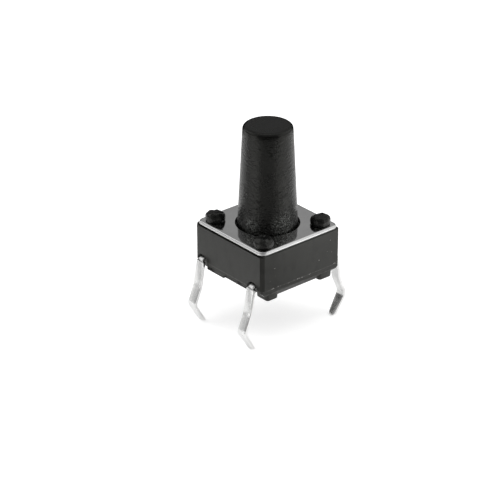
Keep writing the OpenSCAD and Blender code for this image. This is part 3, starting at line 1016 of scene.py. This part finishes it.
def build_world():
    """White where the camera, a mirror or glass shows it, and a softer white as light."""
    world = bpy.data.worlds.new("studio")
    bpy.context.scene.world = world
    world.use_nodes = True
    nodes, links = world.node_tree.nodes, world.node_tree.links
    ambient = nodes["Background"]
    shown = nodes.new("ShaderNodeBackground")
    for background, strength in ((ambient, AMBIENT), (shown, 1.0)):
        background.inputs["Color"].default_value = WHITE
        background.inputs["Strength"].default_value = strength
    path = nodes.new("ShaderNodeLightPath")
    is_shown = path.outputs["Is Camera Ray"]
    for other in ("Is Glossy Ray", "Is Transmission Ray"):
        either = nodes.new("ShaderNodeMath")
        either.operation = "MAXIMUM"
        links.new(is_shown, either.inputs[0])
        links.new(path.outputs[other], either.inputs[1])
        is_shown = either.outputs[0]
    mix = nodes.new("ShaderNodeMixShader")
    links.new(is_shown, mix.inputs[0])
    links.new(ambient.outputs[0], mix.inputs[1])
    links.new(shown.outputs[0], mix.inputs[2])
    links.new(mix.outputs[0], nodes["World Output"].inputs["Surface"])


def reflection_only(obj):
    """A studio card that shows only in reflections."""
    obj.visible_camera = False
    obj.visible_diffuse = False
    obj.visible_transmission = False
    obj.visible_volume_scatter = False
    obj.visible_shadow = False


def card(name, place, u_span, v_span, radiance, steps=24):
    """Studio card for reflections: place(u, v) gives its points in metres over two spans."""
    (u0, u1), (v0, v1) = u_span, v_span
    bm = bmesh.new()
    grid = []
    for i in range(steps + 1):
        u = u0 + (u1 - u0) * i / steps
        grid.append([bm.verts.new(place(u, v0 + (v1 - v0) * j / steps)) for j in range(steps + 1)])
    for i in range(steps):
        for j in range(steps):
            bm.faces.new((grid[i][j], grid[i + 1][j], grid[i + 1][j + 1], grid[i][j + 1]))
    obj = new_object(name, bm)
    s = Shader(name, Roughness=0.9, Base_Color=BLACK, Emission_Color=WHITE, Emission_Strength=radiance)
    obj.data.materials.append(s.material)
    reflection_only(obj)


def wall_card(name, azimuths, elevations, radiance, nearness=1.0):
    """Card on a sphere round the object, over spans of degrees."""
    distance = WALL_DISTANCE * nearness
    card(name, lambda u, v: direction(u, v) * distance, azimuths, elevations, radiance)


def canopy_card(name, rise, half_width, radiance):
    """Card over the camera: rise 0 is the horizon behind the camera, 90 the zenith."""
    ahead, aside = direction(CAMERA_AZIMUTH, 0), direction(CAMERA_AZIMUTH + 90, 0)

    def place(u, v):
        a, b = math.radians(u), math.radians(v)
        upward = ahead * math.cos(a) + Vector((0, 0, 1)) * math.sin(a)
        return (upward * math.cos(b) + aside * math.sin(b)) * WALL_DISTANCE * 0.9

    card(name, place, rise, (-half_width, half_width), radiance)


def floor_card(name, azimuths, reach, radiance):
    """Card that lies on the floor, from one distance to another in millimetres."""
    height = Vector((0, 0, (FLOOR_Z + 0.02) * MM))
    card(name, lambda u, v: direction(u, 0) * v * MM + height, azimuths, reach, radiance)


def floor_patch(name, x_span, y_span, radiance):
    """Rectangular card on the floor, in millimetres."""
    card(name, lambda x, y: Vector((x, y, FLOOR_Z + 0.02)) * MM, x_span, y_span, radiance)


def near_card(name, azimuths, radius, heights, radiance):
    """Upright curved card close to the object. Radius and heights are in millimetres."""
    card(name, lambda u, z: (direction(u, 0) * radius + Vector((0, 0, z))) * MM, azimuths, heights, radiance)


def build_cards():
    """Tones that the glossy faces mirror. Radiance 1 is white, and a near card hides a far one."""
    wall_card("back_wall", (100, 185), (19, 62), 0.285)
    wall_card("back_wall_foot", (100, 185), (-1, 19), 0.012)
    wall_card("left_wall_low", (185, 238), (-1, 9.5), 0.7)
    wall_card("left_wall_gap", (200, 242), (9.5, 26), 0.02)
    wall_card("left_wall_bright", (185, 245), (26, 66), 0.92)
    wall_card("left_front_wall", (238, 275), (-1, 55), 0.4)
    wall_card("camera_wall", (275, 365), (-1, 55), 0.2)
    wall_card("right_wall_low", (5, 100), (-1, 21), 0.45)
    wall_card("right_wall_bright", (20, 100), (21, 66), 0.92)
    canopy_card("dark_canopy", (0, 102), 35, 0.2)
    near_card("camera_side_shade", (-85, 5), 6, (8, 14), 0.01)
    wall_card("left_glint", (254, 282), (15, 33), 1.0, 0.8)
    wall_card("right_glint", (8, 48), (14, 33), 1.05, 0.8)
    floor_card("back_floor_far", (95, 190), (30, 400), 0.012)
    floor_card("camera_shade_near", (-78, -8), (8, 15), 0.42)
    floor_card("camera_shade_far", (-78, -8), (15, 60), 0.42)
    floor_card("camera_half_shade", (-8, 25), (8, 16), 0.35)
    near_card("right_low_glow", (8, 40), 10, (0.2, 2.2), 2.2)
    floor_card("left_floor_glow", (250, 280), (16.5, 24), 2.4)
    floor_card("left_floor_band", (223, 239), (19, 400), 0.56)
    floor_patch("left_floor_shade", (-11, -19), (-6, 17), 0.49)


def build_lights():
    """Lamps that light the surfaces. The cards above are what mirrors in them."""
    soft_box("left_box", -130, 42, 0.30, 0.22, 1.3)
    soft_box("right_box", 52, 42, 0.30, 0.22, 1.3)
    soft_box("overhead_fill", 0, 90, 0.40, 0.34, 1.1)


def build_camera():
    camera = bpy.data.cameras.new("camera")
    camera.lens = CAMERA_LENS
    camera.sensor_width = 36.0
    camera.clip_start = 0.005
    camera.clip_end = 10.0
    obj = bpy.data.objects.new("camera", camera)
    bpy.context.scene.collection.objects.link(obj)
    obj.location = CAMERA_AIM + direction(CAMERA_AZIMUTH, CAMERA_ELEVATION) * CAMERA_DISTANCE
    aim_at(obj, CAMERA_AIM, CAMERA_ROLL)
    bpy.context.scene.camera = obj


build_housing(housing_plastic())
build_posts(post_plastic())
build_plate(plate_steel())
build_stem(stem_plastic())
build_terminals(lead_tin())
build_dome(dome_steel())
build_dust(dust_fibre())
build_floor()
build_cards()
build_world()
build_lights()
build_camera()
bpy.context.scene.view_settings.view_transform = "Standard"
